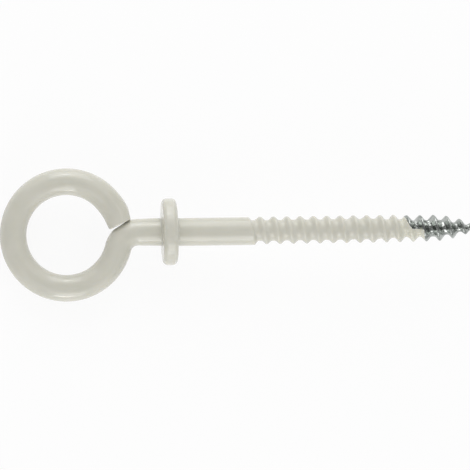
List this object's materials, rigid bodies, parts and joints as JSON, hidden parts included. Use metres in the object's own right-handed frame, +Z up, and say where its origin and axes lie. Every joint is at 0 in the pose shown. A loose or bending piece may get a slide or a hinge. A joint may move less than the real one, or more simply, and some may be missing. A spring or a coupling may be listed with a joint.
{
  "type": "screw eye",
  "caption": "Screw eye with a closed ring, a round collar and a coarse wood thread, in steel with a glossy plastic coat that ends before the gimlet point.",
  "frame": {"origin": "the middle of the base of its bounding box, on the surface where it lies", "axes": "+X along the shank towards the point, as seen from above, with the eye in a plane that leans 10.0 degrees; +Z up"},
  "size_m": [0.1074, 0.0296, 0.0167],
  "materials": {
    "zinc_steel": "polished",
    "ivory_plastic": "gloss"
  },
  "bodies": {
    "root": {"steel_screw_eye": "zinc_steel", "plastic_coat": "ivory_plastic"}
  },
  "joints": []
}
